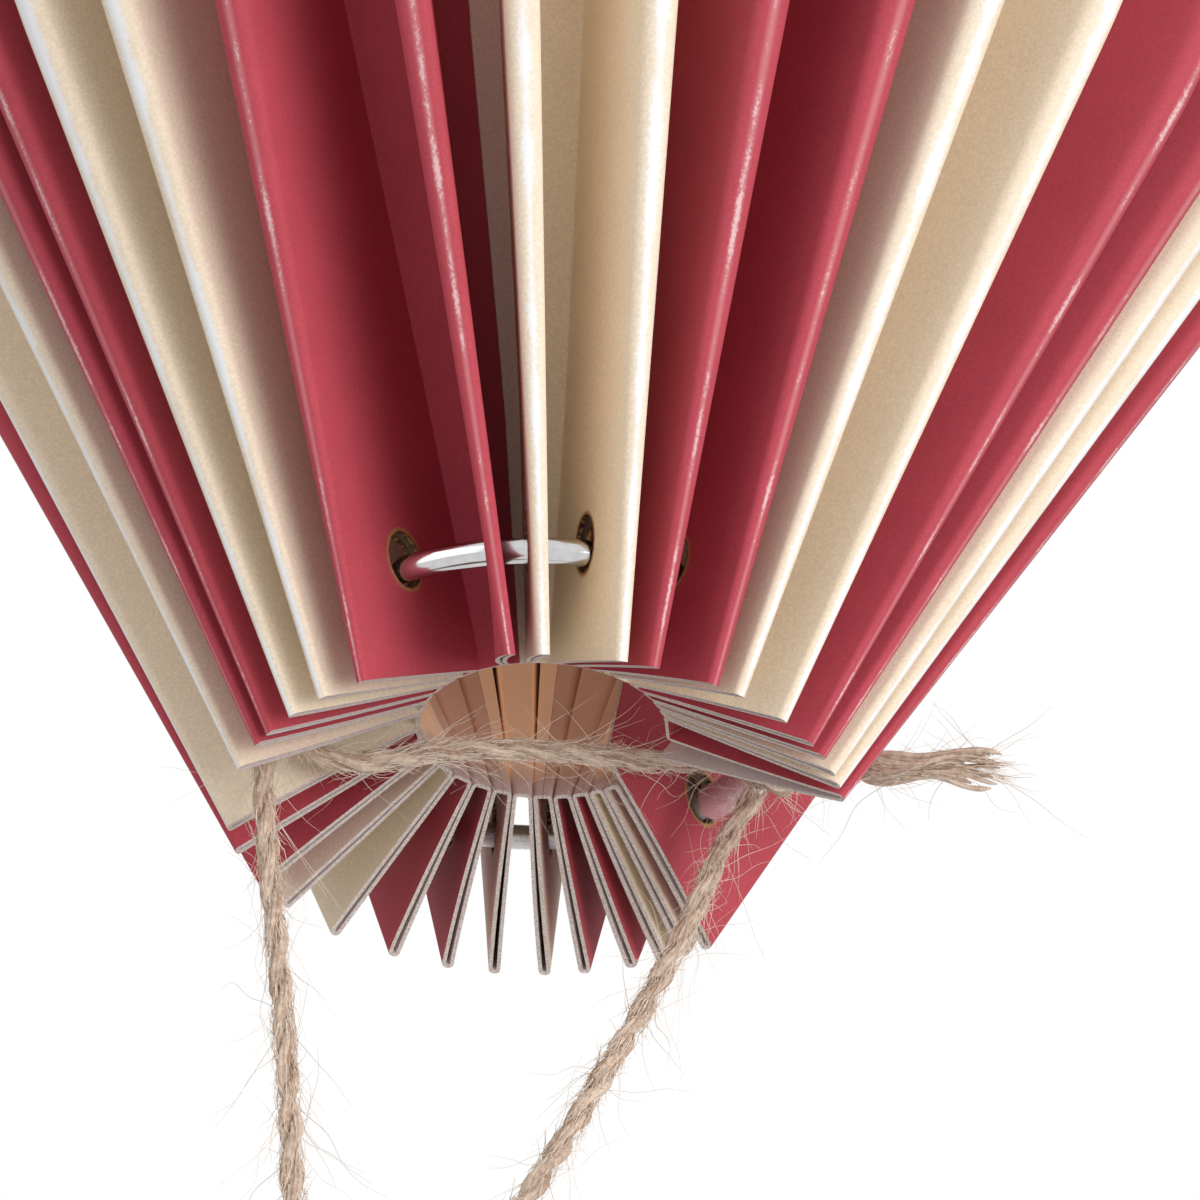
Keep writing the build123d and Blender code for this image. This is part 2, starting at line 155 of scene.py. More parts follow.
# Materials
class Shader:
    """A material's node tree with short ways to add nodes."""

    def __init__(self, name):
        self.material = bpy.data.materials.new(name)
        self.material.use_nodes = True
        self.tree = self.material.node_tree
        self.base = self.tree.nodes["Principled BSDF"]

    def node(self, kind, **values):
        made = self.tree.nodes.new(kind)
        for key, value in values.items():
            setattr(made, key, value)
        return made

    def link(self, source, target):
        if isinstance(source, bpy.types.NodeSocket):
            self.tree.links.new(source, target)
        else:
            target.default_value = source

    def maths(self, operation, first, second=0.0):
        made = self.node("ShaderNodeMath", operation=operation)
        self.link(first, made.inputs[0])
        self.link(second, made.inputs[1])
        return made.outputs[0]

    def vector(self, operation, first, second=(0, 0, 0)):
        made = self.node("ShaderNodeVectorMath", operation=operation)
        self.link(first, made.inputs[0])
        self.link(second, made.inputs[1])
        return made.outputs["Value" if operation in ("DOT_PRODUCT", "LENGTH") else "Vector"]

    def ramp(self, value, low, high, first=0.0, last=1.0):
        made = self.node("ShaderNodeMapRange")
        made.interpolation_type = "SMOOTHSTEP"
        for socket, number in zip(made.inputs, (value, low, high, first, last)):
            self.link(number, socket)
        return made.outputs[0]

    def noise(self, place, scale, detail=3.0, rough=0.55):
        made = self.node("ShaderNodeTexNoise")
        self.link(place, made.inputs["Vector"])
        made.inputs["Scale"].default_value = scale
        made.inputs["Detail"].default_value = detail
        made.inputs["Roughness"].default_value = rough
        return made.outputs["Fac"]

    def mix(self, share, first, second):
        made = self.node("ShaderNodeMix", data_type="RGBA")
        self.link(share, made.inputs[0])
        for socket, colour in ((made.inputs[6], first), (made.inputs[7], second)):
            self.link(colour if isinstance(colour, bpy.types.NodeSocket) else (*colour, 1), socket)
        return made.outputs[2]

    def place(self, stretch=(1, 1, 1)):
        """Object coordinates in millimetres."""
        place = self.node("ShaderNodeTexCoord").outputs["Object"]
        return self.vector("MULTIPLY", place, tuple(s / MM for s in stretch))

    def attribute(self, name):
        return self.node("ShaderNodeAttribute", attribute_name=name).outputs["Fac"]

    def bump(self, height, distance, strength):
        made = self.node("ShaderNodeBump")
        self.link(height, made.inputs["Height"])
        made.inputs["Distance"].default_value = distance * MM
        made.inputs["Strength"].default_value = strength
        self.link(made.outputs["Normal"], self.base.inputs["Normal"])


def linear(red, green, blue):
    """Screen colour numbers, 0 to 255, as the linear values that shaders take."""
    shares = [value / 255 for value in (red, green, blue)]
    return tuple(c / 12.92 if c <= 0.04045 else ((c + 0.055) / 1.055)**2.4 for c in shares)


# Noise scales are per millimetre. The edges of the painted shade and painted light round the holes
# are distances from the holes' middle line.
# Painted shade and painted light round the ring's holes: dark brown painted shade at each hole's
# edge, and golden painted warm light just outside it.
PAINTED_HOLE_SHADE = linear(58, 30, 18)
PAINTED_HOLE_LIGHT = linear(178, 138, 84)
HOLE_SHADE_EDGE = (2.9, 3.2)
HOLE_LIGHT_EDGE = (3.1, 3.6)
HOLE_SHADE_RAGGED = 0.5
MOTTLE_SCALE = 0.11
FIBRE_SCALE = 3.2
CREASE_WEAR = (0.6, 1.0)
CREASE_SHARE = 0.8
CREASE_PALE = 0.3
THROAT_RISE = (0.5, 7.0)
THROAT_FADE = (45, 95)
THROAT_REST = 0.15
METAL_SCALE = 0.9


def hole_distance(shader):
    """Distance in millimetres from the middle line of the ring's holes."""
    away = shader.vector("SUBTRACT", shader.place(), tuple(RING_WAY_ORIGIN))
    rise = shader.vector("DOT_PRODUCT", away, tuple(MOUTH_AXIS))
    whole = shader.vector("LENGTH", away)
    rise_square = shader.maths("POWER", rise, 2.0)
    level = shader.maths("SUBTRACT", shader.maths("POWER", whole, 2.0), rise_square)
    out = shader.maths("SUBTRACT", shader.maths("SQRT", level), RING_RADIUS)
    square = shader.maths("ADD", shader.maths("POWER", out, 2.0), rise_square)
    return shader.maths("SQRT", square)


def add_grain(shader, colour, shade_share):
    """Card stock: a faint mottle over the sheet, fine fibres, and their relief."""
    place = shader.place()
    mottle = shader.ramp(shader.noise(place, MOTTLE_SCALE, detail=4), low=0.3, high=0.7)
    fibres = shader.noise(place, FIBRE_SCALE, detail=4, rough=0.7)
    darker = tuple(c * shade_share for c in colour)
    scaled = shader.vector("SCALE", shader.mix(mottle, darker, colour))
    fine = shader.ramp(fibres, low=0.35, high=0.7, first=0.90, last=1.06)
    shader.link(fine, scaled.node.inputs["Scale"])
    shader.bump(fibres, distance=0.03, strength=0.35)
    return scaled


def add_hole_shade(shader, coloured, specks):
    """Paints shade round the ring's holes in dark brown, and warm light in a golden ring just
    outside it.
    """
    hole_shade_reach = shader.maths("ADD", hole_distance(shader), shader.maths("MULTIPLY", specks, HOLE_SHADE_RAGGED))
    painted_light_rim = shader.mix(shader.ramp(hole_shade_reach, *HOLE_LIGHT_EDGE), PAINTED_HOLE_LIGHT, coloured)
    return shader.mix(shader.ramp(hole_shade_reach, *HOLE_SHADE_EDGE), PAINTED_HOLE_SHADE, painted_light_rim)


def card_material(name, colour, worn, shade_share, roughness, wear_edge):
    """The printed face, rubbed pale along the ridges."""
    shader = Shader(name)
    body = add_grain(shader, colour, shade_share)
    specks = shader.noise(shader.place((1, 1, 0.5)), scale=3.4, detail=3, rough=0.8)
    blotches = shader.noise(shader.place((1, 1, 0.6)), scale=0.16, detail=2)
    wear = shader.attribute("wear")
    patchy = shader.ramp(blotches, low=0.3, high=0.7, first=0.6, last=1.12)
    reach = shader.maths("MULTIPLY", wear, patchy)
    rubbed = shader.ramp(shader.maths("ADD", reach, specks), *wear_edge)
    crease = shader.maths("MULTIPLY", shader.ramp(wear, *CREASE_WEAR), CREASE_SHARE)
    paler = tuple(c + (w - c) * CREASE_PALE for c, w in zip(colour, worn))
    creased = shader.mix(crease, body, paler)
    # Painted shade and painted warm light round the ring's holes.
    shaded_at_holes = add_hole_shade(shader, shader.mix(rubbed, creased, worn), specks)
    shader.link(shaded_at_holes, shader.base.inputs["Base Color"])
    shader.base.inputs["Roughness"].default_value = roughness
    shader.base.inputs["Specular IOR Level"].default_value = 0.12
    return shader.material


def inside_material(name, throat, glow, strength):
    """The unprinted face: pale on the walls, and warm in the throat, where the light that
    comes through the card lies on the flats."""
    shader = Shader(name)
    body = add_grain(shader, linear(226, 208, 206), shade_share=0.96)
    rise = shader.attribute("rise")
    near = shader.ramp(rise, *THROAT_RISE)
    fade = shader.ramp(rise, *THROAT_FADE, first=1.0, last=THROAT_REST)
    deep = shader.maths("MULTIPLY", near, fade)
    share = shader.maths("MULTIPLY", deep, shader.attribute("flat"))
    warm = shader.mix(share, body, throat)
    specks = shader.noise(shader.place(), scale=3.0, detail=3, rough=0.8)
    # Painted shade and painted warm light round the ring's holes, as on the printed face.
    shader.link(add_hole_shade(shader, warm, specks), shader.base.inputs["Base Color"])
    shader.base.inputs["Emission Color"].default_value = (*glow, 1)
    shader.link(shader.maths("MULTIPLY", share, strength), shader.base.inputs["Emission Strength"])
    shader.base.inputs["Roughness"].default_value = 0.85
    shader.base.inputs["Specular IOR Level"].default_value = 0.1
    return shader.material


def metal_material(name, colour, shade_share, roughness, metallic):
    """Metal with a soft mottle in its colour and its roughness."""
    shader = Shader(name)
    spots = shader.noise(shader.place(), METAL_SCALE, detail=4, rough=0.6)
    darker = tuple(c * shade_share for c in colour)
    body = shader.mix(shader.ramp(spots, low=0.3, high=0.7), darker, colour)
    dulled = shader.ramp(spots, low=0.2, high=0.8, first=roughness * 0.75, last=roughness * 1.25)
    shader.link(body, shader.base.inputs["Base Color"])
    shader.link(dulled, shader.base.inputs["Roughness"])
    shader.base.inputs["Metallic"].default_value = metallic
    return shader.material


def edge_material():
    """The raw core of the card along its cuts, a little furred and grey."""
    shader = Shader("card_edge")
    fur = shader.noise(shader.place(), scale=5.0, detail=3, rough=0.8)
    share = shader.ramp(fur, low=0.35, high=0.65)
    body = shader.mix(share, linear(184, 166, 156), linear(232, 222, 214))
    shader.link(body, shader.base.inputs["Base Color"])
    shader.base.inputs["Roughness"].default_value = 0.9
    shader.bump(fur, distance=0.06, strength=0.6)
    return shader.material


def hole_wall_shade_material():
    """The wall of the ring's holes in painted shade, dark brown mottled with golden painted light.
    """
    shader = Shader("hole_wall_painted_shade")
    shade_noise = shader.noise(shader.place(), scale=2.5, detail=3, rough=0.7)
    body = shader.mix(shader.ramp(shade_noise, low=0.42, high=0.62), PAINTED_HOLE_SHADE, PAINTED_HOLE_LIGHT)
    shader.link(body, shader.base.inputs["Base Color"])
    shader.base.inputs["Roughness"].default_value = 0.8
    return shader.material


def twine_material(name, light, dark):
    """Jute: each bundle has its own tone, with fine streaks along it."""
    shader = Shader(name)
    streaks = shader.noise(shader.place(), scale=1.6, detail=4, rough=0.7)
    change = shader.ramp(streaks, low=0.2, high=0.8, first=-0.35, last=0.35)
    tone = shader.maths("ADD", shader.attribute("tone"), change)
    body = shader.mix(shader.ramp(tone, low=0.0, high=1.0), dark, light)
    shader.link(body, shader.base.inputs["Base Color"])
    shader.base.inputs["Roughness"].default_value = 0.78
    shader.base.inputs["Sheen Weight"].default_value = 0.25
    relief = shader.noise(shader.place(), scale=6.0, detail=2, rough=0.6)
    shader.bump(relief, distance=0.05, strength=0.5)
    return shader.material


RED = card_material(
    "red_card", linear(192, 79, 91), linear(232, 190, 190),
    shade_share=0.93, roughness=0.65, wear_edge=(1.3, 1.6),
)
CREAM = card_material(
    "cream_card", linear(248, 230, 206), linear(250, 250, 252),
    shade_share=0.98, roughness=0.65, wear_edge=(0.85, 1.35),
)
INSIDE_RED = inside_material(
    "red_card_inside", linear(232, 206, 190), glow=linear(190, 140, 112), strength=0.1,
)
INSIDE_CREAM = inside_material(
    "cream_card_inside", linear(244, 226, 208), glow=linear(214, 160, 118), strength=0.22,
)
EDGE = edge_material()
HOLE_WALL_SHADE = hole_wall_shade_material()
CHROME = metal_material(
    "ring_chrome", (0.66, 0.65, 0.66), shade_share=0.88, roughness=0.12, metallic=1.0,
)
NICKEL = metal_material(
    "ring_nickel", (0.84, 0.83, 0.84), shade_share=0.95, roughness=0.28, metallic=0.6,
)
BRASS = metal_material(
    "eye_brass", linear(206, 172, 104), shade_share=0.85, roughness=0.28, metallic=1.0,
)
DISC = card_material(
    "crown_card", linear(236, 221, 200), linear(240, 240, 244),
    shade_share=0.95, roughness=0.6, wear_edge=(2.0, 3.0),
)
JUTE = twine_material("jute", light=linear(232, 210, 190), dark=linear(166, 134, 110))
FIBRE = twine_material("jute_fibre", light=linear(240, 224, 208), dark=linear(196, 168, 144))


# Meshes
CARD_SHARP = 45
YARN_SHARP = 60
NODE_SHARP = 35


def make_piece(name, points, faces, materials, indices=None, attributes=None, sharp=CARD_SHARP):
    """A mesh object from points in millimetres, shaded smooth below the sharp angle."""
    mesh = bpy.data.meshes.new(name)
    mesh.from_pydata([Vector(p) * MM for p in points], [], faces)
    for material in materials:
        mesh.materials.append(material)
    if indices is not None:
        mesh.polygons.foreach_set("material_index", indices)
    for key, values in (attributes or {}).items():
        layer = mesh.attributes.new(key, "FLOAT", "POINT")
        layer.data.foreach_set("value", values)
    mesh.polygons.foreach_set("use_smooth", [True] * len(mesh.polygons))
    mesh.set_sharp_from_angle(angle=radians(sharp))
    piece = bpy.data.objects.new(name, mesh)
    scene.collection.objects.link(piece)
    return piece


def finish_piece(piece, slot, *nodes):
    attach(piece, "root")
    if nodes:
        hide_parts(*nodes)
    return piece


# Twine. Lengths are in millimetres, and rates are per millimetre.
LINE_RESOLUTION = 14
YARN_STEP = 0.3
PLY_OFFSET = 0.53
PLY_TURN = 9.5
BUNDLES = 6
BUNDLE_OFFSET = 0.36
BUNDLE_RADIUS = 0.28
BUNDLE_TURN = 6.5
BUNDLE_SIDES = 6
BUNDLE_TONE = (0.25, 0.85)
THIN_END = 0.25
WANDER = 0.07
WANDER_RATE = 0.6
SWELL = 0.18
SWELL_RATE = 0.9

HAIR_SIDES = 3
HAIR_TONE = (0.3, 1.0)
HAIR_STEP = 0.7
HAIR_CURL = (0.1, 1.1)
HAIR_WAVE = (0, 0.5)
HAIR_FORWARD_SHARE = 0.6
HAIR_TAPER = 0.75
HAIR_SURFACE = 1.1
LONG_HAIRS = {"low": 1.2, "high": 12.0, "radius": 0.04, "lift": (0.15, 1.1)}
FUZZ = {"low": 1.5, "high": 4.0, "radius": 0.06, "lift": (0.02, 0.25)}
KNOT_HAIRS = {"low": 1.0, "high": 8.0, "radius": 0.04, "lift": (0.2, 1.2)}
FUZZ_RATE = 14.0


def spline_points(name, route):
    """The points, in millimetres, of the smooth line that a route's points control."""
    curve = bpy.data.curves.new(name, "CURVE")
    curve.dimensions = "3D"
    curve.resolution_u = LINE_RESOLUTION
    spline = curve.splines.new("NURBS")
    spline.points.add(len(route) - 1)
    for point, (x, y, height) in zip(spline.points, route):
        point.co = (x * MM, y * MM, (MOUTH_LEVEL + height) * MM, 1)
    spline.order_u = 3
    spline.use_endpoint_u = True
    holder = bpy.data.objects.new(name, curve)
    mesh = bpy.data.meshes.new_from_object(holder)
    points = [vertex.co / MM for vertex in mesh.vertices]
    bpy.data.objects.remove(holder)
    bpy.data.curves.remove(curve)
    bpy.data.meshes.remove(mesh)
    return points


def line_length(points):
    return sum((b - a).length for a, b in zip(points, points[1:]))


def even_line(points, step):
    """The same line with points a step apart, each with a frame that doesn't twist."""
    total = line_length(points)
    count = max(int(total / step), 2)
    runs = [(b - a).length for a, b in zip(points, points[1:])]
    placed = []
    run = 0
    gone = 0.0
    for i in range(count + 1):
        wanted = total * i / count
        while run < len(runs) - 1 and gone + runs[run] < wanted:
            gone += runs[run]
            run += 1
        placed.append(points[run].lerp(points[run + 1], min((wanted - gone) / runs[run], 1)))
    tangents = []
    for i in range(count + 1):
        tangents.append((placed[min(i + 1, count)] - placed[max(i - 1, 0)]).normalized())
    side = tangents[0].orthogonal().normalized()
    frames = []
    for i, tangent in enumerate(tangents):
        side = (side - tangent * side.dot(tangent)).normalized()
        frames.append((placed[i], tangent, side, tangent.cross(side), total * i / count))
    return frames


class Yarn:
    """Collects tubes and hairs into one mesh."""

    def __init__(self):
        self.points = []
        self.faces = []
        self.tones = []

    def tube(self, centres, radii, sides, tone):
        start = len(self.points)
        side = None
        last = len(centres) - 1
        for i, centre in enumerate(centres):
            tangent = (centres[min(i + 1, last)] - centres[max(i - 1, 0)]).normalized()
            side = tangent.orthogonal() if side is None else side - tangent * side.dot(tangent)
            side = side.normalized()
            other = tangent.cross(side)
            for k in range(sides):
                turn = 2 * pi * k / sides
                self.points.append(centre + (side * cos(turn) + other * sin(turn)) * radii[i])
                self.tones.append(tone)
        for i in range(last):
            for k in range(sides):
                a = start + i * sides + k
                b = start + i * sides + (k + 1) % sides
                self.faces.append((a, b, b + sides, a + sides))
        self.faces.append(tuple(start + k for k in reversed(range(sides))))
        self.faces.append(tuple(start + last * sides + k for k in range(sides)))

    def piece(self, name, material):
        tones = {"tone": self.tones}
        return make_piece(name, self.points, self.faces, [material], None, tones, YARN_SHARP)


def twist_offset(ply, bundle, along, draw, scale):
    """Place of a bundle across the twine: plies turn one way, bundles the other."""
    a = 2 * pi * along / PLY_TURN + pi * ply
    b = a - 2 * pi * along / BUNDLE_TURN + 2 * pi * bundle / BUNDLES
    wander = WANDER * noise.noise(Vector((along * WANDER_RATE, draw, 0)))
    wander_up = WANDER * noise.noise(Vector((along * WANDER_RATE, draw, 9)))
    x = PLY_OFFSET * cos(a) + BUNDLE_OFFSET * cos(b) + wander
    y = PLY_OFFSET * sin(a) + BUNDLE_OFFSET * sin(b) + wander_up
    return x * scale, y * scale


def add_twine(yarn, frames, draws, scale=1.0, offset=None, fray=0.0):
    """Bundles of fibre in two plies. Where they fray, some end early, each thinner."""
    total = frames[-1][4]
    for ply in range(2):
        for bundle in range(BUNDLES):
            draw = draws.uniform(0, 100)
            tone = draws.uniform(*BUNDLE_TONE)
            end = total - draws.random() * fray * (bundle % 3 > 0)
            centres = []
            radii = []
            for place, tangent, side, other, along in frames:
                if along > end:
                    break
                x, y = twist_offset(ply, bundle, along, draw, scale)
                if offset:
                    x, y = offset(ply, bundle, along, x, y)
                centres.append(place + side * x + other * y)
                swell = 1 + SWELL * noise.noise(Vector((along * SWELL_RATE, draw, 4)))
                thin = min((end - along) / fray * 3 + THIN_END, 1) if fray else 1
                radii.append(BUNDLE_RADIUS * swell * scale * thin)
            yarn.tube(centres, radii, BUNDLE_SIDES, tone)


def add_hairs(yarn, frames, draws, per_mm, low, high, radius, lift, scale=1.0):
    """Loose fibres that leave the twine at a slant and curl."""
    total = frames[-1][4]
    for _ in range(int(total * per_mm)):
        place, tangent, side, other, along = frames[draws.randrange(len(frames))]
        turn = draws.uniform(0, 2 * pi)
        out = side * cos(turn) + other * sin(turn)
        way = 1 if draws.random() < HAIR_FORWARD_SHARE else -1
        spread = draws.uniform(*lift)
        heading = (tangent * way + out * spread).normalized()
        length = low + (high - low) * draws.random()**3
        curl = Vector([draws.gauss(0, 1) for _ in range(3)]).normalized() * draws.uniform(*HAIR_CURL)
        wave = Vector([draws.gauss(0, 1) for _ in range(3)]).normalized() * draws.uniform(*HAIR_WAVE)
        steps = max(4, int(length / HAIR_STEP))
        point = place + out * (HAIR_SURFACE * scale) * draws.uniform(0.5, 1.0)
        centres = [point]
        for i in range(steps):
            bend = curl * (i / steps) + wave * sin(3.0 * i / steps * pi)
            point = point + (heading + bend).normalized() * (length / steps)
            centres.append(point)
        radii = [radius * (1 - HAIR_TAPER * i / steps) for i in range(steps + 1)]
        yarn.tube(centres, radii, HAIR_SIDES, draws.uniform(*HAIR_TONE))


# Knots: each winding's radius, turns, spread along its axis, and looseness
RING_LOOP_WINDING = (2.75, 1.0, 0.6, 0.0)
RING_KNOT_WINDING = (2.7, 2.0, 2.2, 0.12)
BASKET_KNOT_WINDING = (1.45, 2.0, 2.0, 0.1)
WINDING_STEPS = 40
LOOSE_RATE = 3.3


def ring_frame(angle):
    """Place on the ring's wire, with its outward and its forward direction."""
    turn = radians(angle)
    across = MOUTH_AXIS.cross(MOUTH_ACROSS)
    outward = MOUTH_ACROSS * cos(turn) + across * sin(turn)
    return RING_ORIGIN + outward * RING_RADIUS, outward, MOUTH_AXIS.cross(outward)


def winding(centre, first, second, axis, radius, turns, spread, loose):
    """Points of a winding round an axis."""
    steps = int(turns * WINDING_STEPS)
    points = []
    for i in range(steps + 1):
        share = i / steps
        turn = 2 * pi * turns * share
        reach = radius + loose * sin(LOOSE_RATE * turn)
        across = (first * cos(turn) + second * sin(turn)) * reach
        points.append(centre + across + axis * spread * (share - 0.5))
    return points


def add_wound(name, slot, node, line, step, seed, hair_rate, scale=1.0):
    """Twine wound along a line, with its loose fibres."""
    draws = random.Random(seed)
    yarn = Yarn()
    frames = even_line(line, step)
    add_twine(yarn, frames, draws, scale)
    wound = finish_piece(yarn.piece(f"{name}_plies", JUTE), slot, node)
    fur = Yarn()
    add_hairs(fur, frames, draws, hair_rate, **KNOT_HAIRS, scale=scale)
    return [wound, finish_piece(fur.piece(f"{name}_fibres", FIBRE), slot)]


def add_ring_knot(name, angle, shape, seed, hair_rate):
    """Twine round the ring's wire at an angle of the ring."""
    place, outward, forward = ring_frame(angle)
    line = winding(place, outward, MOUTH_AXIS, forward, *shape)
    return add_wound(name, "jute_twine", f"twine_{name}", line, YARN_STEP, seed, hair_rate)


def add_basket_knot(name, side, seed, hair_rate):
    """A knot outside the basket's wall, on its left (-1) or right (1)."""
    reach = BASKET_RIM + BASKET_TWINE / 2 + KNOT_LENGTH / 2
    place = Vector((BASKET_SHIFT[0] + side * reach, BASKET_SHIFT[1], HOLE_LEVEL))
    axis = Vector((side, 0, 0))
    line = winding(place, Vector((0, 1, 0)), Vector((0, 0, 1)), axis, *BASKET_KNOT_WINDING)
    return add_wound(name, "jute_twine", name, line, YARN_STEP, seed, hair_rate)


on_strand = {name: [] for name in ROUTES}
on_strand["left"] += add_ring_knot(
    "ring_loop", LOOP_ANGLE, RING_LOOP_WINDING, seed=31, hair_rate=6.0,
)
on_strand["right"] += add_ring_knot(
    "ring_knot", RING_KNOT_ANGLE, RING_KNOT_WINDING, seed=32, hair_rate=14.0,
)
on_strand["left"] += add_basket_knot("basket_knot_left", -1, seed=42, hair_rate=12.0)
on_strand["right"] += add_basket_knot("basket_knot_right", 1, seed=43, hair_rate=12.0)


# Strands
STRAND_SEED = 11
TAIL_OPENS_AT = 0.36
TAIL_OPENS_OVER = 0.24
TAIL_FRAY = 4.0
RIBBON_HALF_WIDTH = 1.6
RIBBON_SWELL = 0.3
RIBBON_SWELL_RATE = 0.45
RIBBON_RIPPLE = 0.55
RIBBON_RIPPLE_RATE = 0.3
LANE_RIPPLE_RATE = 3.1
RIBBON_DRIFT = 0.25
RIBBON_DRIFT_RATE = 0.7
LANE_DRIFT_RATE = 5
HAIRS_PER_MM = {"left": 5.0, "cross": 8.0, "right": 7.0, "tail": 9.0}


def ribbon_offset(total):
    """Untwists the tail's last part into a flat, spread ribbon."""

    def offset(ply, bundle, along, x, y):
        rise = min(max((along - total * TAIL_OPENS_AT) / (total * TAIL_OPENS_OVER), 0), 1)
        share = rise * rise * (3 - 2 * rise)
        lane = (ply * BUNDLES + bundle) / (2 * BUNDLES - 1) * 2 - 1
        flat_x = RIBBON_RIPPLE * cos(LANE_RIPPLE_RATE * lane + RIBBON_RIPPLE_RATE * along)
        width = RIBBON_HALF_WIDTH + RIBBON_SWELL * sin(along * RIBBON_SWELL_RATE)
        drift = RIBBON_DRIFT * sin(along * RIBBON_DRIFT_RATE + LANE_DRIFT_RATE * lane)
        flat_y = lane * width + drift
        return x * (1 - share) + flat_x * share, y * (1 - share) + flat_y * share

    return offset


for number, (name, route) in enumerate(ROUTES.items()):
    draws = random.Random(STRAND_SEED + number)
    points = spline_points(name, route)
    frames = even_line(points, YARN_STEP)
    total = frames[-1][4]
    yarn = Yarn()
    if name == "tail":
        add_twine(yarn, frames, draws, 1.0, ribbon_offset(total), TAIL_FRAY)
    else:
        add_twine(yarn, frames, draws)
    strand = finish_piece(yarn.piece(f"twine_{name}_plies", JUTE), "jute_twine", f"twine_{name}")
    fur = Yarn()
    add_hairs(fur, frames, draws, HAIRS_PER_MM[name], **LONG_HAIRS)
    add_hairs(fur, frames, draws, FUZZ_RATE, **FUZZ)
    hairs = finish_piece(fur.piece(f"twine_{name}_fibres", FIBRE), "jute_twine")


# Basket
BASKET_HEIGHT = (BASKET_TURNS - 1) * BASKET_PITCH + BASKET_TWINE
BASKET_FOOT = Vector((*BASKET_SHIFT, MOUTH_LEVEL - BASKET_DROP - BASKET_HEIGHT))
BASKET_SCALE = BASKET_TWINE / TWINE
BASKET_STEPS = 48
BASKET_YARN_STEP = 0.6
BASKET_SEED = 41
BASKET_HAIRS_PER_MM = 2.5


def part_turns(angle, rise):
    """How far the wall's turns move up or down to let the strands through."""
    near = exp(-((sin(angle) * BASKET_RIM / HOLE_SPREAD)**2))
    above = rise - (HOLE_LEVEL - BASKET_FOOT.z)
    return near * HOLE_PART * (1 if above > 0 else -1) * exp(-(above / HOLE_REACH)**2)


def basket_line():
    """A flat spiral for the floor, half a turn more at its edge, and a helix for the wall."""
    points = []
    floor_turns = (BASKET_FLOOR - BASKET_PITCH / 3) / BASKET_PITCH
    spread = (BASKET_RIM - BASKET_FLOOR) / (BASKET_TURNS - 1)
    steps = int((floor_turns + BASKET_TURNS) * BASKET_STEPS)
    for i in range(steps + 1):
        turns = i / BASKET_STEPS
        angle = 2 * pi * turns
        rise = min(max(turns - floor_turns - 0.5, 0), BASKET_TURNS - 1)
        radius = BASKET_FLOOR - max(floor_turns - turns, 0) * BASKET_PITCH + rise * spread
        height = BASKET_TWINE / 2 + rise * BASKET_PITCH
        if rise > 0:
            height += part_turns(angle, height)
        points.append(BASKET_FOOT + Vector((radius * cos(angle), radius * sin(angle), height)))
    return points


add_wound(
    "basket_coil", "basket_twine", "basket", basket_line(),
    BASKET_YARN_STEP, BASKET_SEED, BASKET_HAIRS_PER_MM, BASKET_SCALE,
)


# Card stripes. Heights are above the mouth, and angles are in degrees round the envelope.
def ridge_radius(height):
    if height <= SHOULDER:
        return MOUTH_RADIUS + height * tan(CONE_HALF_ANGLE)
    return sqrt(ENVELOPE_RADIUS**2 - (height - BELLY)**2)


def valley_radius(height):
    if height <= INNER_SHOULDER:
        radius = MOUTH_RADIUS + height * tan(CONE_HALF_ANGLE) - PLEAT_DEPTH / cos(CONE_HALF_ANGLE)
    else:
        radius = sqrt(max(INNER_RADIUS**2 - (height - BELLY)**2, 0))
    return max(radius, CORE_RADIUS)


def on_circle(radius, angle):
    return Vector((radius * cos(radians(angle)), radius * sin(radians(angle))))


def valley_angles(ridges, last_edge_turn):
    flat = [angle for stripe in ridges for angle in stripe]
    middles = [(a + b) / 2 for a, b in zip(flat, flat[1:])]
    step = (middles[-1] - middles[0]) / (len(middles) - 1)
    share = EVEN_VALLEY_SHARE
    valleys = [m * (1 - share) + (middles[0] + step * i) * share for i, m in enumerate(middles)]
    return [flat[0] + FIRST_EDGE_TURN] + valleys + [flat[-1] + last_edge_turn]


MOUTH_VALLEYS = valley_angles(MOUTH_RIDGES, MOUTH_LAST_EDGE_TURN)
UPPER_VALLEYS = valley_angles(UPPER_RIDGES, UPPER_LAST_EDGE_TURN)


def ridge_point(mouth_angle, upper_angle, height):
    if height >= SHOULDER:
        return on_circle(ridge_radius(height), upper_angle)
    foot = on_circle(MOUTH_RADIUS, mouth_angle)
    foot_height = MOUTH_RADIUS * sin(MOUTH_TILT) * cos(radians(mouth_angle))
    top = on_circle(ridge_radius(SHOULDER), upper_angle)
    return foot + (top - foot) * (height - foot_height) / (SHOULDER - foot_height)


def valley_point(mouth_angle, upper_angle, height):
    share = min(max((height - VALLEY_END) / (SHOULDER - VALLEY_END), 0), 1)
    return on_circle(valley_radius(height), mouth_angle + (upper_angle - mouth_angle) * share)


def stepped_width(steps, height):
    for (low, first), (high, second) in zip(steps, steps[1:]):
        if height < high:
            share = max(height - low, 0) / (high - low)
            return first + (second - first) * share
    return steps[-1][1]


def fold_pair(middle, width):
    across = Vector((-middle.y, middle.x)).normalized() * (width / 2)
    return middle - across, middle + across


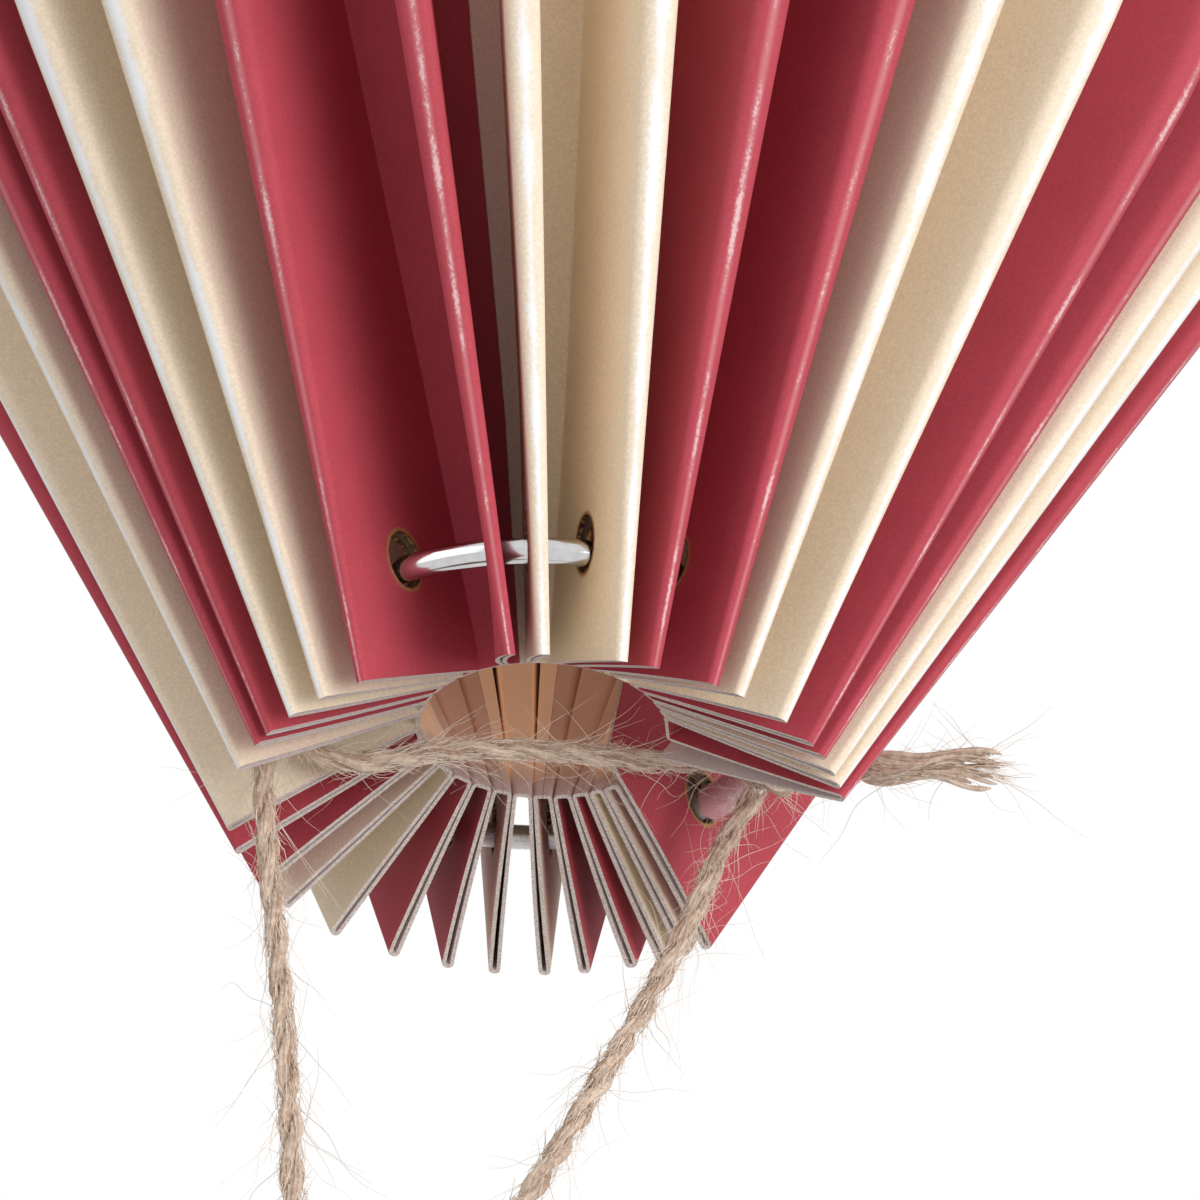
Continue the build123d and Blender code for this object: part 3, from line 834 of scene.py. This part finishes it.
def stripe_corners(stripe, first_valley, height):
    """Corners of a stripe's middle line at a height, each with its kind."""
    corners = []
    last_valley = len(MOUTH_VALLEYS) - 1
    last_ridge = len(MOUTH_RIDGES[stripe]) - 1
    for i, mouth_ridge in enumerate(MOUTH_RIDGES[stripe]):
        k = first_valley + i
        edge = valley_point(MOUTH_VALLEYS[k], UPPER_VALLEYS[k], height)
        next_edge = valley_point(MOUTH_VALLEYS[k + 1], UPPER_VALLEYS[k + 1], height)
        ridge = ridge_point(mouth_ridge, UPPER_RIDGES[stripe][i], height)
        root = (edge + next_edge).normalized() * valley_radius(height)
        near, far = fold_pair(root, FINGER_WIDTH_SHARE * valley_radius(height))
        if k == 0:
            corners.append((edge - edge.normalized() * stepped_width(FLAP_STEPS, height), "end"))
        else:
            if i == 0:
                corners.append((edge + (near - edge).normalized() * SEAM_GAP / 2, "end"))
            corners.append((near, "root"))
        first, second = fold_pair(ridge, stepped_width(RIDGE_STEPS, height))
        corners += [(first, "ridge"), (second, "ridge")]
        if k + 1 == last_valley:
            corners.append((next_edge, "end"))
        else:
            corners.append((far, "root"))
            if i == last_ridge:
                corners.append((next_edge - (next_edge - far).normalized() * SEAM_GAP / 2, "end"))
    return corners


ROUND_STEPS = 5
WALL_STEPS = 7
ROOT_REACH = 0.4
ROOT_SHARE = 0.45
TOUCH_SHARE = 0.49


def round_reach(kind, back, ahead):
    """How far a corner's rounding runs along its two sides."""
    short = min(back.length, ahead.length)
    return short * TOUCH_SHARE if kind == "ridge" else min(ROOT_REACH, short * ROOT_SHARE)


def stripe_columns(stripe, first_valley, height):
    """The middle line with rounded folds: points, wear at the ridges, and inner flats."""
    corners = stripe_corners(stripe, first_valley, height)
    spans = []
    for i, (corner, kind) in enumerate(corners):
        if kind == "end":
            spans.append((corner, corner))
            continue
        back = corners[i - 1][0] - corner
        ahead = corners[i + 1][0] - corner
        reach = round_reach(kind, back, ahead)
        spans.append((corner + back.normalized() * reach, corner + ahead.normalized() * reach))
    columns = []
    for i, (corner, kind) in enumerate(corners):
        start, finish = spans[i]
        if kind == "end":
            lone = "ridge" in (corners[max(i - 1, 0)][1], corners[min(i + 1, len(corners) - 1)][1])
            columns.append((corner, 0.0, 0.0 if lone else 1.0))
        else:
            rising = kind == "ridge" and corners[i + 1][1] == "ridge"
            for k in range(ROUND_STEPS + 1):
                t = k / ROUND_STEPS
                point = start * (1 - t)**2 + corner * 2 * t * (1 - t) + finish * t * t
                wear = (t if rising else 1 - t)**2 if kind == "ridge" else 0.0
                columns.append((point, wear, 1.0 if kind == "root" else 0.0))
        if i + 1 < len(corners):
            next_kind = corners[i + 1][1]
            if kind != next_kind and "ridge" in (kind, next_kind):
                goal = spans[i + 1][0]
                for k in range(1, WALL_STEPS):
                    columns.append((finish.lerp(goal, k / WALL_STEPS), 0.0, 0.0))
    return columns


LOW_LEVEL = -MOUTH_RADIUS * sin(MOUTH_TILT) - 3 * CARD
STRAIGHT_LEVELS = (LOW_LEVEL, VALLEY_END, FLAP_STEPS[1][0], SHOULDER)
LOWER_TOP = 22.0
LOWER_ROWS = 7
CONE_ROWS = 9
BALL_ROWS = 44
CUT_HALVINGS = 30
PRINTED_SIDE = 0
INNER_SIDE = 1
RAW_EDGE = 2


def cut_excess(point):
    """How far a point is above the mouth's square cut; below it, the card is gone."""
    away = point - MOUTH_ORIGIN
    rise = away.dot(MOUTH_AXIS)
    out = (away - MOUTH_AXIS * rise).length
    return rise - (MOUTH_RADIUS - out) * tan(CONE_HALF_ANGLE)


def straight_point(bands, column, height):
    """A column's point between the levels where the sheet is straight."""
    low = sum(height >= level for level in STRAIGHT_LEVELS[1:-1])
    share = (height - STRAIGHT_LEVELS[low]) / (STRAIGHT_LEVELS[low + 1] - STRAIGHT_LEVELS[low])
    flat = bands[low][column][0].lerp(bands[low + 1][column][0], share)
    return Vector((flat.x, flat.y, MOUTH_LEVEL + height))


def foot_height(bands, column):
    """The height at which the mouth's cut meets a column, found by halving."""
    low, high = LOW_LEVEL, SHOULDER
    for _ in range(CUT_HALVINGS):
        middle = (low + high) / 2
        if cut_excess(straight_point(bands, column, middle)) < 0:
            low = middle
        else:
            high = middle
    return high


def stripe_grid(stripe, first_valley):
    """Rows of points over a stripe's middle surface, from the mouth to the crown."""
    bands = [stripe_columns(stripe, first_valley, level) for level in STRAIGHT_LEVELS]
    count = len(bands[0])
    feet = [foot_height(bands, i) for i in range(count)]
    rows = []
    for k in range(LOWER_ROWS + 1):
        levels = [foot + (LOWER_TOP - foot) * (k / LOWER_ROWS) for foot in feet]
        rows.append([straight_point(bands, i, level) for i, level in enumerate(levels)])
    for k in range(1, CONE_ROWS + 1):
        height = LOWER_TOP + (SHOULDER - LOWER_TOP) * k / CONE_ROWS
        rows.append([straight_point(bands, i, height) for i in range(count)])
    start = -CONE_HALF_ANGLE
    stop = asin((CROWN - BELLY) / ENVELOPE_RADIUS)
    for k in range(1, BALL_ROWS + 1):
        height = BELLY + ENVELOPE_RADIUS * sin(start + (stop - start) * k / BALL_ROWS)
        level = stripe_columns(stripe, first_valley, height)
        rows.append([Vector((p.x, p.y, MOUTH_LEVEL + height)) for p, _, _ in level])
    rises = [row[i].z - rows[0][i].z for row in rows for i in range(count)]
    return rows, [wear for _, wear, _ in bands[0]], [flat for _, _, flat in bands[0]], rises


def build_sheet(name, printed, inside, stripe, first_valley):
    """A closed thick sheet: printed outside, pale inside, raw along its cuts."""
    rows, wear, flats, rises = stripe_grid(stripe, first_valley)
    height = len(rows)
    width = len(rows[0])
    outer = []
    inner = []
    for j in range(height):
        for i in range(width):
            across = rows[j][min(i + 1, width - 1)] - rows[j][max(i - 1, 0)]
            up = rows[min(j + 1, height - 1)][i] - rows[max(j - 1, 0)][i]
            normal = across.cross(up).normalized() * (CARD / 2)
            outer.append(rows[j][i] + normal)
            inner.append(rows[j][i] - normal)
    size = len(outer)
    points = outer + inner
    faces = []
    indices = []
    for j in range(height - 1):
        for i in range(width - 1):
            a = j * width + i
            quad = (a, a + 1, a + 1 + width, a + width)
            faces.append(quad)
            indices.append(PRINTED_SIDE)
            faces.append(tuple(size + v for v in reversed(quad)))
            indices.append(INNER_SIDE)
    rim = [(i, i + 1) for i in range(width - 1)]
    rim += [(j * width + width - 1, (j + 1) * width + width - 1) for j in range(height - 1)]
    top = (height - 1) * width
    rim += [(top + i + 1, top + i) for i in range(width - 1)]
    rim += [((j + 1) * width, j * width) for j in range(height - 1)]
    for a, b in rim:
        faces.append((b, a, a + size, b + size))
        indices.append(RAW_EDGE)
    values = {"wear": wear * height * 2, "flat": flats * height * 2, "rise": rises * 2}
    # The last material is the painted shade of the holes' walls.
    return make_piece(name, points, faces, [printed, inside, EDGE, HOLE_WALL_SHADE], indices, values)


def ring_way():
    """The tool that cuts the ring's holes."""
    bpy.ops.mesh.primitive_torus_add(
        major_segments=160,
        minor_segments=28,
        major_radius=RING_RADIUS * MM,
        minor_radius=RING_HOLE / 2 * MM,
    )
    tool = bpy.context.object
    tool.name = "ring_way"
    turn = Matrix.Rotation(-MOUTH_TILT, 4, "Y")
    tool.data.transform(Matrix.Translation(RING_WAY_ORIGIN * MM) @ turn)
    # The holes' walls take the painted shade.
    tool.data.materials.append(HOLE_WALL_SHADE)
    return tool


def cut_holes(piece, tool):
    """Cuts the tool out of a piece. The cut takes the tool's material, the painted shade of the
    holes' walls.
    """
    modifier = piece.modifiers.new("holes", "BOOLEAN")
    modifier.operation = "DIFFERENCE"
    modifier.object = tool
    modifier.solver = "EXACT"
    modifier.material_mode = "TRANSFER"
    graph = bpy.context.evaluated_depsgraph_get()
    cut = bpy.data.meshes.new_from_object(piece.evaluated_get(graph))
    piece.modifiers.clear()
    piece.data = cut


tool = ring_way()
first_valley = 0
for stripe, ridges in enumerate(MOUTH_RIDGES):
    colour = "cream" if stripe % 2 else "red"
    node = f"{colour}_stripe_{stripe // 2 + 1}"
    outside, inside = (CREAM, INSIDE_CREAM) if stripe % 2 else (RED, INSIDE_RED)
    sheet = build_sheet(f"{node}_card", outside, inside, stripe, first_valley)
    cut_holes(sheet, tool)
    finish_piece(sheet, f"{colour}_card", node)
    first_valley += len(ridges)
bpy.data.objects.remove(tool)


# CAD nodes that keep their shape
def dress(material, *nodes):
    for node in nodes:
        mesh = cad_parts[node].data
        mesh.materials.clear()
        mesh.materials.append(material)
        mesh.set_sharp_from_angle(angle=radians(NODE_SHARP))


dress(NICKEL, "ring_plain_half", "ring_hinge_pin")
dress(CHROME, "ring_snap_half")
dress(BRASS, "crown_washer", "hanging_eye")
dress(DISC, "crown_disc")


# Light, world and floor. Each lamp has its name, its place and size in metres, and its watts.
LAMPS = (
    ("key", (0.95, -1.1, -0.4), 1.1, 17),
    ("fill", (-1.0, -0.9, -0.1), 1.3, 4),
    ("top", (0.3, 0.5, 1.2), 1.4, 5),
)
LAMP_TARGET = Vector((0, 0, -0.13))
WORLD_STRENGTH = 0.5
FLOOR_WHITE = 0.88
FLOOR_GREY = (0.86, 0.86, 0.86, 1)
FLOOR_HALF = 6000
FLOOR_LEVEL = -1300


def add_lamp(name, place, size, power):
    data = bpy.data.lights.new(name, "AREA")
    data.size = size
    data.energy = power
    lamp = bpy.data.objects.new(name, data)
    lamp.location = place
    lamp.rotation_euler = (LAMP_TARGET - Vector(place)).to_track_quat("-Z", "Y").to_euler()
    scene.collection.objects.link(lamp)


def direct_rays(tree):
    """1 for the rays of the camera, of reflections and through glass, and 0 for others."""
    paths = tree.nodes.new("ShaderNodeLightPath")
    seen = paths.outputs["Is Camera Ray"]
    for name in ("Is Glossy Ray", "Is Transmission Ray"):
        either = tree.nodes.new("ShaderNodeMath")
        either.operation = "MAXIMUM"
        tree.links.new(seen, either.inputs[0])
        tree.links.new(paths.outputs[name], either.inputs[1])
        seen = either.outputs[0]
    return seen


def add_world():
    """Even soft light, which the camera and reflections see as white."""
    world = bpy.data.worlds.new("studio")
    scene.world = world
    world.use_nodes = True
    tree = world.node_tree
    tree.nodes.clear()
    soft = tree.nodes.new("ShaderNodeBackground")
    soft.inputs["Strength"].default_value = WORLD_STRENGTH
    white = tree.nodes.new("ShaderNodeBackground")
    white.inputs["Color"].default_value = (1, 1, 1, 1)
    mix = tree.nodes.new("ShaderNodeMixShader")
    tree.links.new(direct_rays(tree), mix.inputs[0])
    tree.links.new(soft.outputs[0], mix.inputs[1])
    tree.links.new(white.outputs[0], mix.inputs[2])
    output = tree.nodes.new("ShaderNodeOutputWorld")
    tree.links.new(mix.outputs[0], output.inputs["Surface"])


def add_floor():
    """A pale floor, mostly white to the camera and to reflections, with a faint shadow."""
    shader = Shader("floor")
    shader.base.inputs["Base Color"].default_value = FLOOR_GREY
    shader.base.inputs["Roughness"].default_value = 0.9
    white = shader.node("ShaderNodeEmission")
    mixed = shader.node("ShaderNodeMixShader")
    shader.link(shader.maths("MULTIPLY", direct_rays(shader.tree), FLOOR_WHITE), mixed.inputs[0])
    shader.link(shader.base.outputs[0], mixed.inputs[1])
    shader.link(white.outputs[0], mixed.inputs[2])
    shader.link(mixed.outputs[0], shader.tree.nodes["Material Output"].inputs["Surface"])
    signs = ((-1, -1), (1, -1), (1, 1), (-1, 1))
    corners = [(x * FLOOR_HALF, y * FLOOR_HALF, FLOOR_LEVEL) for x, y in signs]
    floor = make_piece("floor", corners, [(0, 1, 2, 3)], [shader.material])


for lamp in LAMPS:
    add_lamp(*lamp)
add_world()
add_floor()
